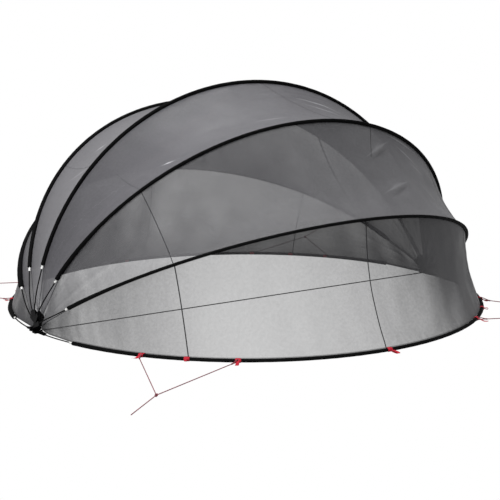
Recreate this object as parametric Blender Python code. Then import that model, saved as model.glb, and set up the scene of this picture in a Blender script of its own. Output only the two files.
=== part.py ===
"""Round dome canopy: seven half hoops that fan from two end hubs, with mesh gores stretched between them.

Frame: X runs along the hub axis, -Y is the front, +Z is up. The origin is on the floor at the
centre of the ground ring. Metres.
"""
import math

import bmesh
import bpy
from mathutils import Vector

RING_RADIUS = 2.75  # from the centre to the hub axis ends
RING_Z = 0.0225  # height of the ground ring's centre line, one sleeve radius
SLEEVE_RADIUS = 0.0225
ROD_RADIUS = 0.007
COLLAR_RADIUS = 0.011
COLLAR_LENGTH = 0.045
GAP = 0.0003

HOOP_NAMES = "abcdefg"
HOOP_STEP = 30.0  # degrees between neighbouring hoops of the fan, from the front floor over to the rear
HOOP_RISE = (0.997, 0.926, 0.931, 0.924, 0.931, 0.926, 0.997)  # crown of each hoop over the ring radius
SLEEVE_START = (14.5, 16.7, 16.3, 16.3, 16.3, 16.1, 14.5)  # degrees along each hoop where its cloth sleeve begins
ARC_POINTS = 35

HINGE_Z = 0.06  # the fan's hinge axis
LAYER_PITCH = 0.02  # the moving hoops' eyes sit side by side on the axle
EYE_WIDTH = 0.0145
EYE_RADIUS = 0.019
FINGER_REACH = 0.2
FINGER_ROOT = 0.013  # half the width of a finger beside the eye and at its tip
FINGER_TIP = 0.024
AXLE_RADIUS = 0.006
AXLE_HALF = 0.07

CHEEK_INNER = 0.0535
CHEEK_OUTER = 0.0635
CHEEK_RADIUS = 0.026
BASE_TOP = 0.024
BASE_HALF_Y = 0.05
SOCKET_REACH = 0.2
SOCKET_RADIUS = 0.0125
SOCKET_DEPTH = 0.055

CLOTH_HALF = 0.001  # half the thickness of a gore
GORE_SAG = 0.075  # how far a gore is pulled in, over its width
GORE_STEPS = 4
STRAP_HALF = 0.02  # the webbing between the two hubs
STRAP_Z = 0.02
STRAP_THICK = 0.002
HUB_EDGE = 0.06  # how near to the hinge axis the cloth comes
HUB_EDGE_IN = 0.1
HUB_STEPS = 6  # rows of cloth between a hub and the sleeves
HUB_CLEAR = 0.002

TAB_ANGLES = (33.4, 43.6, 54.5)  # webbing wraps on the ring, from the hub axis
WRAP_LOW = -48.0  # the wraps cover the ring's outer side between these angles above the level
WRAP_HIGH = 92.0
WRAP_WIDTH = 0.05
WEB_THICK = 0.0018
LOOP_WIDTH = 0.026
LOOP_REACH = 0.15
LOOP_HALF = 0.011
YOKE_REACH = 0.1  # where the two strands of a cord's loop meet
CORD_RADIUS = 0.003
KNOT_X = 2.9
KNOT_Y = 2.81
TAIL_X = 3.39
TAIL_Y = 3.19
FLOOR_CLEAR = 0.004


def clear_scene():
    for obj in list(bpy.data.objects):
        bpy.data.objects.remove(obj, do_unlink=True)


def material(name, colour, roughness, metallic=0.0, alpha=1.0):
    found = bpy.data.materials.get(name)
    if found:
        return found
    mat = bpy.data.materials.new(name)
    mat.use_nodes = True
    shader = mat.node_tree.nodes["Principled BSDF"]
    shader.inputs["Base Color"].default_value = (*colour, 1.0)
    shader.inputs["Roughness"].default_value = roughness
    shader.inputs["Metallic"].default_value = metallic
    shader.inputs["Alpha"].default_value = alpha
    return mat


def make(name, bm, mat, parent=None, smooth=True):
    bmesh.ops.recalc_face_normals(bm, faces=bm.faces)
    mesh = bpy.data.meshes.new(name)
    bm.to_mesh(mesh)
    bm.free()
    mesh.materials.append(mat)
    if smooth:
        for face in mesh.polygons:
            face.use_smooth = True
    obj = bpy.data.objects.new(name, mesh)
    bpy.context.scene.collection.objects.link(obj)
    if parent:
        obj.parent = parent
        obj.matrix_parent_inverse = parent.matrix_world.inverted()
    return obj


def tube(bm, points, radius, sides, closed=False, ends=(None, None)):
    """A round bar along the points, with flat ends (square to ends where given) or joined up on itself."""
    count = len(points)
    rings = []
    side = None
    for i, point in enumerate(points):
        if closed:
            along = points[(i + 1) % count] - points[i - 1]
        else:
            along = points[min(i + 1, count - 1)] - points[max(i - 1, 0)]
        if i == 0 and ends[0]:
            along = ends[0].copy()
        if i == count - 1 and ends[1]:
            along = ends[1].copy()
        along.normalize()
        if side is None:
            side = along.cross(Vector((0.0, 0.0, 1.0)))
            if side.length < 0.2:
                side = along.cross(Vector((1.0, 0.0, 0.0)))
        side = (side - along * side.dot(along)).normalized()
        up = along.cross(side)
        size = radius[i] if isinstance(radius, (list, tuple)) else radius
        ring = []
        for j in range(sides):
            turn = 2.0 * math.pi * j / sides
            ring.append(bm.verts.new(point + (side * math.cos(turn) + up * math.sin(turn)) * size))
        rings.append(ring)
    pairs = list(zip(rings, rings[1:]))
    if closed:
        pairs.append((rings[-1], rings[0]))
    for one, two in pairs:
        for j in range(sides):
            k = (j + 1) % sides
            bm.faces.new((one[j], one[k], two[k], two[j]))
    if not closed:
        bm.faces.new(list(reversed(rings[0])))
        bm.faces.new(rings[-1])


def sheet(bm, rows):
    """A closed sheet from rows of points, half its thickness to each side."""
    across = len(rows[0])
    front = []
    back = []
    for i, row in enumerate(rows):
        tops = []
        lows = []
        for j, point in enumerate(row):
            one = rows[min(i + 1, len(rows) - 1)][j] - rows[max(i - 1, 0)][j]
            two = row[min(j + 1, across - 1)] - row[max(j - 1, 0)]
            normal = one.cross(two).normalized() * CLOTH_HALF
            tops.append(bm.verts.new(point + normal))
            lows.append(bm.verts.new(point - normal))
        front.append(tops)
        back.append(lows)
    for i in range(len(rows) - 1):
        for j in range(across - 1):
            bm.faces.new((front[i][j], front[i][j + 1], front[i + 1][j + 1], front[i + 1][j]))
            bm.faces.new((back[i][j], back[i + 1][j], back[i + 1][j + 1], back[i][j + 1]))
    for i in range(len(rows) - 1):
        bm.faces.new((front[i][0], front[i + 1][0], back[i + 1][0], back[i][0]))
        bm.faces.new((front[i][-1], back[i][-1], back[i + 1][-1], front[i + 1][-1]))
    for j in range(across - 1):
        bm.faces.new((front[0][j], back[0][j], back[0][j + 1], front[0][j + 1]))
        bm.faces.new((front[-1][j], front[-1][j + 1], back[-1][j + 1], back[-1][j]))


def half_length(k):
    """Half the span of hoop k: the eyes of the moving hoops sit side by side on the axle."""
    if k in (0, 6):
        return RING_RADIUS
    return RING_RADIUS - (k - 3) * LAYER_PITCH


def hoop_point(k, degrees):
    along = math.radians(degrees)
    fan = math.radians(HOOP_STEP * k)
    reach = HOOP_RISE[k] * RING_RADIUS * math.sin(along)
    x = -half_length(k) * math.cos(along)
    return Vector((x, -reach * math.cos(fan), RING_Z + reach * math.sin(fan)))


def hoop_tangent(k, degrees):
    return (hoop_point(k, degrees + 0.05) - hoop_point(k, degrees - 0.05)).normalized()


def about_hinge(x, radius, fan):
    return Vector((x, -radius * math.cos(fan), HINGE_Z + radius * math.sin(fan)))


def finger_fan(k):
    """The direction of hoop k's finger: from the hinge axis to where its sleeve starts."""
    start = hoop_point(k, SLEEVE_START[k])
    return math.atan2(start.z - HINGE_Z, -start.y)


def spread(first, last, count):
    return [first + (last - first) * i / (count - 1) for i in range(count)]


def sleeve(k, mat, parent):
    bm = bmesh.new()
    first = SLEEVE_START[k]
    points = [hoop_point(k, d) for d in spread(first, 180.0 - first, ARC_POINTS)]
    ends = (hoop_tangent(k, first), hoop_tangent(k, 180.0 - first))
    tube(bm, points, SLEEVE_RADIUS, 12, ends=ends)
    return make("sleeve_" + HOOP_NAMES[k], bm, mat, parent)


def mirror_side(point, side):
    return Vector((point.x * -side, point.y, point.z))


def ring_degrees(reach_y):
    """Degrees along the ground ring at which it is reach_y from the hub axis."""
    return math.degrees(math.asin(reach_y / (RING_RADIUS * HOOP_RISE[0])))


def socket_line(side, way):
    """The axis of a hub's ring socket: it points along the ring where the ring leaves it."""
    k = 0 if way < 0 else 6
    near = hoop_point(k, ring_degrees(SOCKET_REACH - SOCKET_DEPTH))
    far = hoop_point(k, ring_degrees(SOCKET_REACH))
    slope = (far - near) / (far.y - near.y)
    inner = far - slope * far.y
    if side > 0:
        return mirror_side(inner, 1.0), mirror_side(far, 1.0)
    return inner, far


def rod_path(k):
    """The bare pole on the left side, from the hub to just short of the sleeve, with its radii."""
    collar_start = SLEEVE_START[k] - math.degrees(COLLAR_LENGTH / RING_RADIUS)
    last = SLEEVE_START[k] - math.degrees(GAP / RING_RADIUS)
    if k in (0, 6):
        mouth = ring_degrees(SOCKET_REACH + 0.006)
        inner, outer = socket_line(-1.0, -1.0 if k == 0 else 1.0)
        start = outer.lerp(inner, (SOCKET_DEPTH - 0.01) / (outer - inner).length)
        path = [start] + [hoop_point(k, d) for d in spread(mouth, collar_start, 7)]
    else:
        fan = finger_fan(k)
        start = about_hinge(-half_length(k), FINGER_REACH - 0.03, fan)
        out = Vector((0.0, -math.cos(fan), math.sin(fan)))
        end = hoop_point(k, collar_start)
        into = hoop_tangent(k, collar_start)
        span = (end - start).length
        path = [start]
        for i in range(1, 8):
            f = i / 7.0
            one = start * (2 * f ** 3 - 3 * f ** 2 + 1) + out * span * (f ** 3 - 2 * f ** 2 + f)
            two = end * (3 * f ** 2 - 2 * f ** 3) + into * span * (f ** 3 - f ** 2)
            path.append(one + two)
    radii = [ROD_RADIUS] * len(path)
    path += [hoop_point(k, collar_start + 0.01), hoop_point(k, last)]
    radii += [COLLAR_RADIUS, COLLAR_RADIUS]
    return path, radii


def add_bar(bm, corners, depth):
    """A closed prism: the outline at x = depth[0] and again at x = depth[1]."""
    near = [bm.verts.new((depth[0], y, z)) for y, z in corners]
    far = [bm.verts.new((depth[1], y, z)) for y, z in corners]
    bm.faces.new(near)
    bm.faces.new(list(reversed(far)))
    for i in range(len(corners)):
        j = (i + 1) % len(corners)
        bm.faces.new((near[i], far[i], far[j], near[j]))


def cut(obj, cutter, operation="DIFFERENCE"):
    cutter.hide_render = True
    cutter.display_type = "WIRE"
    step = obj.modifiers.new("shape_" + cutter.name, "BOOLEAN")
    step.operation = operation
    step.solver = "EXACT"
    step.object = cutter


def cutter_bar(name, start, end, radius, sides=20):
    bm = bmesh.new()
    tube(bm, [Vector(start), Vector(end)], radius, sides)
    bmesh.ops.recalc_face_normals(bm, faces=bm.faces)
    mesh = bpy.data.meshes.new(name)
    bm.to_mesh(mesh)
    bm.free()
    obj = bpy.data.objects.new(name, mesh)
    bpy.context.scene.collection.objects.link(obj)
    obj.hide_render = True
    obj.display_type = "WIRE"
    return obj


def pole_end(k, side, mat, parent):
    """The bare end of hoop k's pole with its collar. A moving hoop's also has its finger and eye."""
    word = "left" if side < 0 else "right"
    path, radii = rod_path(k)
    last = hoop_tangent(k, SLEEVE_START[k])
    if side > 0:
        path = [mirror_side(p, 1.0) for p in path]
        last = mirror_side(last, 1.0)
    bm = bmesh.new()
    tube(bm, path, radii, 8, ends=(None, last))
    name = "pole_%s_%s" % (HOOP_NAMES[k], word)
    obj = make(name, bm, mat, parent)
    if k in (0, 6):
        return obj
    fan = finger_fan(k)
    middle = side * half_length(k)
    corners = []
    for i in range(13):
        turn = fan + math.radians(60.0 + 240.0 * i / 12)
        corners.append((-EYE_RADIUS * math.cos(turn), HINGE_Z + EYE_RADIUS * math.sin(turn)))
    for reach, half in ((0.035, -FINGER_ROOT), (FINGER_REACH - 0.008, -FINGER_TIP), (FINGER_REACH, 0.008 - FINGER_TIP),
                        (FINGER_REACH, FINGER_TIP - 0.008), (FINGER_REACH - 0.008, FINGER_TIP), (0.035, FINGER_ROOT)):
        y = -reach * math.cos(fan) + half * math.sin(fan)
        z = HINGE_Z + reach * math.sin(fan) + half * math.cos(fan)
        corners.append((y, z))
    fm = bmesh.new()
    add_bar(fm, corners, (middle - EYE_WIDTH / 2, middle + EYE_WIDTH / 2))
    bmesh.ops.recalc_face_normals(fm, faces=fm.faces)
    mesh = bpy.data.meshes.new(name + "_finger")
    fm.to_mesh(mesh)
    fm.free()
    finger = bpy.data.objects.new(name + "_finger", mesh)
    bpy.context.scene.collection.objects.link(finger)
    cut(obj, finger, "UNION")
    bore = cutter_bar(name + "_bore", (middle - 0.03, 0.0, HINGE_Z), (middle + 0.03, 0.0, HINGE_Z),
                      AXLE_RADIUS + GAP)
    cut(obj, bore)
    return obj


def gore_edge(k):
    """Points of the cloth's edge on hoop k from the left hub to the right hub."""
    fan = finger_fan(k) if k not in (0, 6) else math.radians(HOOP_STEP * k)
    arc = [hoop_point(k, d) for d in spread(SLEEVE_START[k], 180.0 - SLEEVE_START[k], ARC_POINTS)]
    near = about_hinge(-(RING_RADIUS - HUB_EDGE_IN), HUB_EDGE, fan)
    if k in (0, 6):
        near.z = RING_Z + 0.012
    left = [near.lerp(arc[0], i / HUB_STEPS) for i in range(HUB_STEPS)]
    right = [mirror_side(p, 1.0) for p in reversed(left)]
    return left + arc + right


def edge_offset(edge, i, along):
    """How far the cloth stays from a hoop's centre line: a sleeve's radius, tapering to the hub."""
    from_end = min(i, len(edge) - 1 - i)
    share = min(from_end / HUB_STEPS, 1.0)
    if share < 1.0:
        return HUB_CLEAR + (SLEEVE_RADIUS - HUB_CLEAR) * share ** 1.5
    tangent = (edge[min(i + 1, len(edge) - 1)] - edge[max(i - 1, 0)]).normalized()
    return (SLEEVE_RADIUS + GAP + 0.0004) / tangent.cross(along).length


def seated(edge, i, point):
    """Moves a point of the cloth's edge straight towards or away from its sleeve until it just meets it."""
    if i < HUB_STEPS or i > len(edge) - 1 - HUB_STEPS:
        return point
    tangent = (edge[i + 1] - edge[i - 1]).normalized()
    off = point - edge[i]
    flat = off - tangent * off.dot(tangent)
    return edge[i] + off * ((SLEEVE_RADIUS + GAP) / flat.length)


def gore_rows(k):
    """The cloth between hoops k and k + 1."""
    one = gore_edge(k)
    two = gore_edge(k + 1)
    rows = []
    for i, (a, b) in enumerate(zip(one, two)):
        across = b - a
        width = across.length
        along = across / width
        start = a + along * edge_offset(one, i, along)
        end = b - along * edge_offset(two, i, along)
        row = []
        for f in spread(0.0, 1.0, GORE_STEPS + 1):
            point = start.lerp(end, f)
            share = (point - a).length / width
            inward = Vector((0.0, -point.y, RING_Z - point.z)).normalized()
            row.append(point + inward * GORE_SAG * width * 4.0 * share * (1.0 - share))
        row[0] = seated(one, i, row[0])
        row[-1] = seated(two, i, row[-1])
        rows.append(row)
    return rows


def gore(name, k, mat, parent):
    bm = bmesh.new()
    sheet(bm, gore_rows(k))
    return make(name, bm, mat, parent)


def ground_strap(mat, parent):
    """Flat webbing pulled straight from one hub to the other just over the floor."""
    bm = bmesh.new()
    reach = RING_RADIUS - CHEEK_OUTER - GAP
    low = STRAP_Z - STRAP_THICK / 2
    corners = [(-STRAP_HALF, low), (STRAP_HALF, low), (STRAP_HALF, low + STRAP_THICK), (-STRAP_HALF, low + STRAP_THICK)]
    add_bar(bm, corners, (-reach, reach))
    return make("ground_strap", bm, mat, parent, smooth=False)


def hub(side, mat, parent):
    """The foot on the floor with two cheeks for the axle and a socket for each end of the ground ring."""
    word = "left" if side < 0 else "right"
    middle = side * RING_RADIUS
    bm = bmesh.new()
    base = [(-BASE_HALF_Y, 0.006), (-BASE_HALF_Y + 0.006, 0.0), (BASE_HALF_Y - 0.006, 0.0),
            (BASE_HALF_Y, 0.006), (BASE_HALF_Y, BASE_TOP - 0.01), (BASE_HALF_Y - 0.01, BASE_TOP),
            (-BASE_HALF_Y + 0.01, BASE_TOP), (-BASE_HALF_Y, BASE_TOP - 0.01)]
    add_bar(bm, base, (middle - CHEEK_OUTER, middle + CHEEK_OUTER))
    obj = make("hub_" + word, bm, mat, parent, smooth=False)
    for low, high, tag in ((-CHEEK_OUTER, -CHEEK_INNER, "in"), (CHEEK_INNER, CHEEK_OUTER, "out")):
        corners = [(-0.04, 0.01), (0.04, 0.01)]
        for i in range(13):
            turn = math.radians(180.0 * i / 12)
            corners.append((CHEEK_RADIUS * math.cos(turn), HINGE_Z + CHEEK_RADIUS * math.sin(turn)))
        cm = bmesh.new()
        add_bar(cm, corners, (middle + low, middle + high))
        bmesh.ops.recalc_face_normals(cm, faces=cm.faces)
        mesh = bpy.data.meshes.new("cheek")
        cm.to_mesh(mesh)
        cm.free()
        cheek = bpy.data.objects.new("hub_%s_cheek_%s" % (word, tag), mesh)
        bpy.context.scene.collection.objects.link(cheek)
        cut(obj, cheek, "UNION")
    for way in (-1.0, 1.0):
        tag = "front" if way < 0 else "rear"
        inner, outer = socket_line(side, way)
        cut(obj, cutter_bar("hub_%s_socket_%s" % (word, tag), inner, outer, SOCKET_RADIUS), "UNION")
    for way in (-1.0, 1.0):
        tag = "front" if way < 0 else "rear"
        inner, outer = socket_line(side, way)
        along = (outer - inner).normalized()
        cut(obj, cutter_bar("hub_%s_bore_%s" % (word, tag), outer - along * SOCKET_DEPTH,
                            outer + along * 0.02, ROD_RADIUS + 0.0005))
    axle = cutter_bar("hub_%s_axle_hole" % word, (middle - 0.1, 0.0, HINGE_Z), (middle + 0.1, 0.0, HINGE_Z),
                      AXLE_RADIUS + GAP)
    cut(obj, axle)
    return obj


def axle(side, mat, parent):
    word = "left" if side < 0 else "right"
    middle = side * RING_RADIUS
    bm = bmesh.new()
    radii = [0.01, 0.01, AXLE_RADIUS, AXLE_RADIUS, 0.01, 0.01]
    ends = [-AXLE_HALF, -CHEEK_OUTER - 0.0006, -CHEEK_OUTER - 0.0005, CHEEK_OUTER + 0.0005,
            CHEEK_OUTER + 0.0006, AXLE_HALF]
    tube(bm, [Vector((middle + e, 0.0, HINGE_Z)) for e in ends], radii, 16)
    return make("axle_" + word, bm, mat, parent)


def ring_point(quadrant, degrees):
    """A point on the ground ring's outer side, degrees from the hub axis."""
    sx, sy = quadrant
    start = SLEEVE_START[0]
    step = (180.0 - 2.0 * start) / (ARC_POINTS - 1)
    place = (degrees - start) / step
    first = int(place + 1e-6)
    one = hoop_point(0, start + first * step)
    two = hoop_point(0, start + (first + 1) * step)
    point = one.lerp(two, place - first)
    way = (two - one).normalized()
    out = Vector((-sx * way.y, sy * way.x, 0.0))
    if out.x * sx < 0.0:
        out.x = -out.x
    return Vector((sx * abs(point.x), sy * abs(point.y), RING_Z)), out


def solid(name, bm):
    """A helper solid that only takes part in another piece's shape."""
    bmesh.ops.recalc_face_normals(bm, faces=bm.faces)
    mesh = bpy.data.meshes.new(name)
    bm.to_mesh(mesh)
    bm.free()
    obj = bpy.data.objects.new(name, mesh)
    bpy.context.scene.collection.objects.link(obj)
    obj.hide_render = True
    obj.display_type = "WIRE"
    return obj


def strap(bm, path, across, closed=False):
    """Flat webbing along a path: across is half its width as a vector, the thickness is to the path's left."""
    count = len(path)
    rings = []
    for i, point in enumerate(path):
        if closed:
            along = path[(i + 1) % count] - path[i - 1]
        else:
            along = path[min(i + 1, count - 1)] - path[max(i - 1, 0)]
        thick = across.cross(along).normalized() * WEB_THICK
        rings.append([bm.verts.new(point - across), bm.verts.new(point + across),
                      bm.verts.new(point + across + thick), bm.verts.new(point - across + thick)])
    pairs = list(zip(rings, rings[1:]))
    if closed:
        pairs.append((rings[-1], rings[0]))
    for one, two in pairs:
        for j in range(4):
            k = (j + 1) % 4
            bm.faces.new((one[j], one[k], two[k], two[j]))
    if not closed:
        bm.faces.new(list(reversed(rings[0])))
        bm.faces.new(rings[-1])


def wrap(bm, quadrant, degrees):
    """The webbing wrap on the ring's sleeve. Returns the ring's centre there and the way out."""
    centre, out = ring_point(quadrant, degrees)
    half = Vector((-out.y, out.x, 0.0)) * (WRAP_WIDTH / 2)
    path = []
    for turn in spread(WRAP_LOW, WRAP_HIGH, 11):
        way = out * math.cos(math.radians(turn)) + Vector((0.0, 0.0, math.sin(math.radians(turn))))
        path.append(centre + way * (SLEEVE_RADIUS + GAP))
    strap(bm, path, half)
    return centre, out


def loop_path(centre, out):
    """A flat standing loop of webbing from the wrap outwards, with its tip near the floor."""
    path = []
    start = SLEEVE_RADIUS + GAP + WEB_THICK * 0.5
    for i in range(18):
        turn = 2.0 * math.pi * i / 18
        f = 0.5 - 0.5 * math.cos(turn)
        rise = LOOP_HALF * math.sin(turn) * (0.55 + 0.45 * f)
        point = centre + out * (start + (LOOP_REACH - 0.004) * f)
        point.z = RING_Z * (1.0 - f) + 0.018 * f + rise
        path.append(point)
    return path


def peg_loop(name, quadrant, degrees, mat, parent):
    bm = bmesh.new()
    centre, out = wrap(bm, quadrant, degrees)
    obj = make(name, bm, mat, parent, smooth=False)
    lm = bmesh.new()
    side = Vector((-out.y, out.x, 0.0)) * (LOOP_WIDTH / 2)
    strap(lm, loop_path(centre, out), side, closed=True)
    cut(obj, solid(name + "_loop", lm), "UNION")
    return obj


def bar_solid(name, points, radius, sides=6, ends=(None, None)):
    bm = bmesh.new()
    tube(bm, points, radius, sides, ends=ends)
    return solid(name, bm)


def guy_lines(name, quadrant, mat, parent):
    """Two wraps with their cords, the knot where the cords meet, and the tail to its peg."""
    sx, sy = quadrant
    knot = Vector((sx * KNOT_X, sy * KNOT_Y, 0.0125))
    tail = Vector((sx * TAIL_X, sy * TAIL_Y, FLOOR_CLEAR))
    way = Vector((tail.x - knot.x, tail.y - knot.y, 0.0)).normalized()
    bm = bmesh.new()
    tube(bm, [knot - way * 0.022, knot - way * 0.012, knot + way * 0.012, knot + way * 0.022],
         [0.006, 0.011, 0.011, 0.006], 8)
    obj = make(name, bm, mat, parent)
    for i, degrees in enumerate((TAB_ANGLES[0], TAB_ANGLES[2])):
        wm = bmesh.new()
        centre, out = wrap(wm, quadrant, degrees)
        cut(obj, solid("%s_wrap_%d" % (name, i), wm), "UNION")
        aim = knot - centre
        aim.z = 0.0
        aim.normalize()
        yoke = centre + out * SLEEVE_RADIUS + aim * YOKE_REACH
        yoke.z = 0.014
        for tag, height in (("top", 0.0165), ("low", -0.0125)):
            turn = math.asin(height / SLEEVE_RADIUS)
            normal = out * math.cos(turn) + Vector((0.0, 0.0, math.sin(turn)))
            start = centre + normal * (SLEEVE_RADIUS + GAP + WEB_THICK * 0.6)
            strand = bar_solid("%s_%s_%d" % (name, tag, i), [start, yoke], CORD_RADIUS, ends=(normal, None))
            cut(obj, strand, "UNION")
        cut(obj, bar_solid("%s_line_%d" % (name, i), [yoke - aim * 0.006, knot], CORD_RADIUS), "UNION")
        cut(obj, bar_solid("%s_hitch_%d" % (name, i), [yoke - aim * 0.01, yoke + aim * 0.01], 0.0065, 8),
            "UNION")
    cut(obj, bar_solid(name + "_tail", [knot, tail], CORD_RADIUS), "UNION")
    return obj


def pivot(name):
    """An empty on the hinge axis that a moving hoop hangs from."""
    empty = bpy.data.objects.new(name, None)
    empty.location = (0.0, 0.0, HINGE_Z)
    bpy.context.scene.collection.objects.link(empty)
    return empty


def main():
    clear_scene()
    black = material("black_plastic", (0.02, 0.02, 0.022), 0.5)
    rod = material("black_pole", (0.025, 0.025, 0.028), 0.35)
    steel = material("steel_axle", (0.55, 0.56, 0.58), 0.3, metallic=1.0)
    sleeve_cloth = material("black_sleeve_cloth", (0.015, 0.015, 0.017), 0.85)
    mesh_cloth = material("grey_mesh_cloth", (0.12, 0.12, 0.13), 0.8, alpha=0.65)
    sheer_cloth = material("sheer_front_mesh", (0.3, 0.3, 0.31), 0.8, alpha=0.3)
    red = material("red_cord", (0.55, 0.03, 0.07), 0.7)
    webbing = material("black_webbing", (0.03, 0.03, 0.032), 0.8)

    pivots = {}
    for k in range(1, 6):
        pivots[k] = pivot("pivot_" + HOOP_NAMES[k])
    bpy.context.view_layer.update()

    for side in (-1.0, 1.0):
        hub(side, black, None)
        axle(side, steel, None)
    for k in range(7):
        sleeve(k, sleeve_cloth, pivots.get(k))
        for side in (-1.0, 1.0):
            pole_end(k, side, rod, pivots.get(k))
    gore("gore_front", 0, sheer_cloth, pivots[1])
    for k in range(1, 6):
        name = "gore_%s_%s" % (HOOP_NAMES[k], HOOP_NAMES[k + 1])
        gore(name, k, mesh_cloth, None)
    ground_strap(webbing, None)

    quadrants = {"front_left": (-1.0, -1.0), "front_right": (1.0, -1.0),
                 "rear_left": (-1.0, 1.0), "rear_right": (1.0, 1.0)}
    for word, quadrant in quadrants.items():
        guy_lines("guy_" + word, quadrant, red, None)
        peg_loop("peg_loop_" + word, quadrant, TAB_ANGLES[1], red, None)
    peg_loop("peg_loop_front", (1.0, -1.0), 90.0, red, None)
    peg_loop("peg_loop_rear", (-1.0, 1.0), 90.0, red, None)


main()
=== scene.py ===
"""Dresses the folding dome canopy with its mesh gores, cloth sleeves, webbing loops and cords.

Frame as in the CAD: X runs along the hub axis, -Y is the front, +Z is up. Metres and degrees.
"""

import math

import bpy
import numpy as np
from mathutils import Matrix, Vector


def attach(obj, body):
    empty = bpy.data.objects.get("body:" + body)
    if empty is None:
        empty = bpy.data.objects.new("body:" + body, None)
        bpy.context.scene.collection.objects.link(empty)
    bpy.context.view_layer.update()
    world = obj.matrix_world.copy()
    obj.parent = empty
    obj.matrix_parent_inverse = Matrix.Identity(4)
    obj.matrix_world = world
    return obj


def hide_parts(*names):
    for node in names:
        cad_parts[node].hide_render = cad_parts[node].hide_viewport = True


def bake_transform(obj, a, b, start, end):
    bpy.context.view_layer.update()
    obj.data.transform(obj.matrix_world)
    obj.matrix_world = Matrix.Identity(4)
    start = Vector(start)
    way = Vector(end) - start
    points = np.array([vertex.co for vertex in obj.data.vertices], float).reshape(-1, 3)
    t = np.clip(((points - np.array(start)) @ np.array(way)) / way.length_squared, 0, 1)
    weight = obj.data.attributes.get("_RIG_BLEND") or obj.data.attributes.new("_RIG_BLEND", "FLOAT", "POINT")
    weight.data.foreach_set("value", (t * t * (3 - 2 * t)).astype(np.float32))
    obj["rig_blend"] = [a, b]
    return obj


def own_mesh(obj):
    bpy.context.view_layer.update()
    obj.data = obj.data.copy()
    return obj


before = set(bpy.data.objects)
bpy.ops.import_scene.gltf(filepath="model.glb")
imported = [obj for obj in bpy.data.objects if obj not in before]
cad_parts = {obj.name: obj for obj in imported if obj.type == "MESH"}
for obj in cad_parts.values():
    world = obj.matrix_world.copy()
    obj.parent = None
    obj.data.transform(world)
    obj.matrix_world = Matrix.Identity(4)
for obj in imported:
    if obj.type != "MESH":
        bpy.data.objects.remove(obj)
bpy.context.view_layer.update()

# Sizes of the dome, as in the CAD. The hubs are at both ends of the ground ring's axis.
RING_RADIUS = 2.75
RING_Z = 0.0225
SLEEVE_RADIUS = 0.0225
COLLAR_LENGTH = 0.045
HINGE_Z = 0.06
LAYER_PITCH = 0.02
CHEEK_OUTER = 0.0635
STRAP_HALF = 0.02
STRAP_Z = 0.02
FLOOR_GAP = 0.0008
TOUCH_GAP = 0.0003

# Hoops a to g. a and g are the front and the rear half of the ground ring, and b to f are raised.
HOOPS = "abcdefg"
GROUND_HOOPS = (0, 6)
MIDDLE_HOOP = 3
BODY_OF_HOOP = ("base", "hoop_b", "hoop_c", "hoop_d", "hoop_e", "hoop_f", "base")
HOOP_STEP = 30.0

# For each hoop: its height as a share of the ring's radius, and the degrees along it where its sleeve begins.
HOOP_RISE = (0.997, 0.926, 0.931, 0.924, 0.931, 0.926, 0.997)
SLEEVE_START = (14.5, 16.7, 16.3, 16.3, 16.3, 16.1, 14.5)

# A sleeve's oval section: half its width and half its thickness on the ring, on a raised hoop and where it is
# slack. It is slack below SLACK_TO degrees, and each sleeve is wider there by its own SLEEVE_SLACK.
SLEEVE_WIDE = 0.0228
SLEEVE_THICK_RING = 0.0196
SLEEVE_THICK = 0.0172
SLEEVE_THICK_SLACK = 0.0217
SLACK_TO = 38.0
SLACK_FADE = 20.0
SLEEVE_SLACK = (0.0015, 0.008, 0.007, 0.0, 0.001, 0.011, 0.006)

# The cloth is a grid with rows beside each hub and along the sleeves, and columns from hoop to hoop.
HUB_ROWS = 40
ARC_ROWS = 560
ROWS = ARC_ROWS + 2 * HUB_ROWS
GORE_COLUMNS = 36
COLUMN_CROWDING = 0.4
GORE_SAG = 0.075

# The cloth meets a sleeve at these shares of its half width and half thickness, the second from EDGE_FADE
# degrees on.
EDGE_INWARD = 0.82
EDGE_ASIDE = 0.55
EDGE_FADE = 1.2

# The corner patch of a gore starts and ends this far from the hinge, and this far in from the hub's middle.
# On the ring its corner lies lower.
PATCH_INNER = 0.012
PATCH_REACH = 0.2
PATCH_INNER_X = 0.07
PATCH_CORNER_X = 0.05
PATCH_ROWS_SHARE = 0.22
RING_INNER_Z = 0.03
RING_CORNER_X = 0.061
RING_CORNER_Z = 0.02
PATCH_RUN = PATCH_REACH - PATCH_INNER

# Where the pegging gear sits: degrees along the ring, and the X and Y of the knots and the cords' ends
TAB_ANGLES = (33.4, 43.6, 54.5)
FRONT_LOOP_AT = 88.8
KNOT_AT = (2.9, 2.81)
TAIL_AT = (3.39, 3.19)

UP = np.array([0.0, 0.0, 1.0])
MIRROR_X = np.array([-1.0, 1.0, 1.0])
FLAT = np.array([1.0, 1.0, 0.0])


# Shape of the hoops

def half_length(k):
    """Half of hoop k along the hub axis. The eyes of the raised hoops lie side by side on the axles."""
    if k in GROUND_HOOPS:
        return RING_RADIUS
    return RING_RADIUS - (k - MIDDLE_HOOP) * LAYER_PITCH


def hoop(k, degrees):
    """Points on the centre line of hoop k. 0 degrees is at the left hub and 180 at the right one."""
    turn = np.radians(np.asarray(degrees, float))
    fan = math.radians(HOOP_STEP * k)
    reach = HOOP_RISE[k] * RING_RADIUS * np.sin(turn)
    x = -half_length(k) * np.cos(turn)
    return np.stack([x, -reach * math.cos(fan), RING_Z + reach * math.sin(fan)], axis=-1)


def unit(v):
    return v / np.maximum(np.linalg.norm(v, axis=-1, keepdims=True), 1e-12)


def ramp(x):
    return np.clip(x, 0.0, 1.0)


def smooth(x):
    x = ramp(x)
    return x * x * (3.0 - 2.0 * x)


def bell(x, middle, width):
    return np.exp(-((x - middle) / width) ** 2)


def run_along(path):
    """The length of a path from its start to each of its points."""
    return np.concatenate([[0.0], np.cumsum(np.linalg.norm(np.diff(path, axis=0), axis=1))])


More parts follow.
